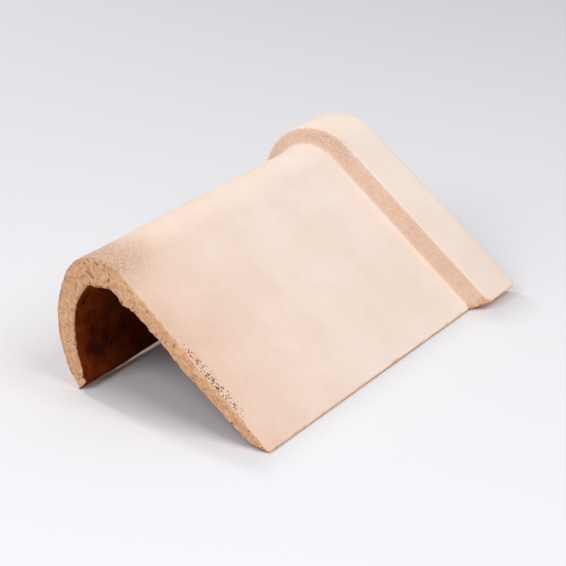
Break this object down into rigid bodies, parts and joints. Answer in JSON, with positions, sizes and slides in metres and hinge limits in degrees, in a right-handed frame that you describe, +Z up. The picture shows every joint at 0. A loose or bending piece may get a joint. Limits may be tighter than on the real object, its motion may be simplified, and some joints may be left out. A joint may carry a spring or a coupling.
{
  "type": "monopitch ridge tile",
  "caption": "Hand-made clay ridge tile for a lean-to roof: a long sloping wing, a rounded crown, a short wall leg and a raised socket collar.",
  "frame": {"origin": "middle of the footprint, on the floor plane that the feet stand on", "axes": "+X along the ridge from the plain end to the collar, +Y towards the wall leg, +Z up; the roof wing is on -Y"},
  "size_m": [0.4098, 0.264, 0.1485],
  "materials": {
    "clay": "matte unglazed fired clay"
  },
  "bodies": {
    "root": {"ridge_tile": "clay"}
  },
  "joints": []
}
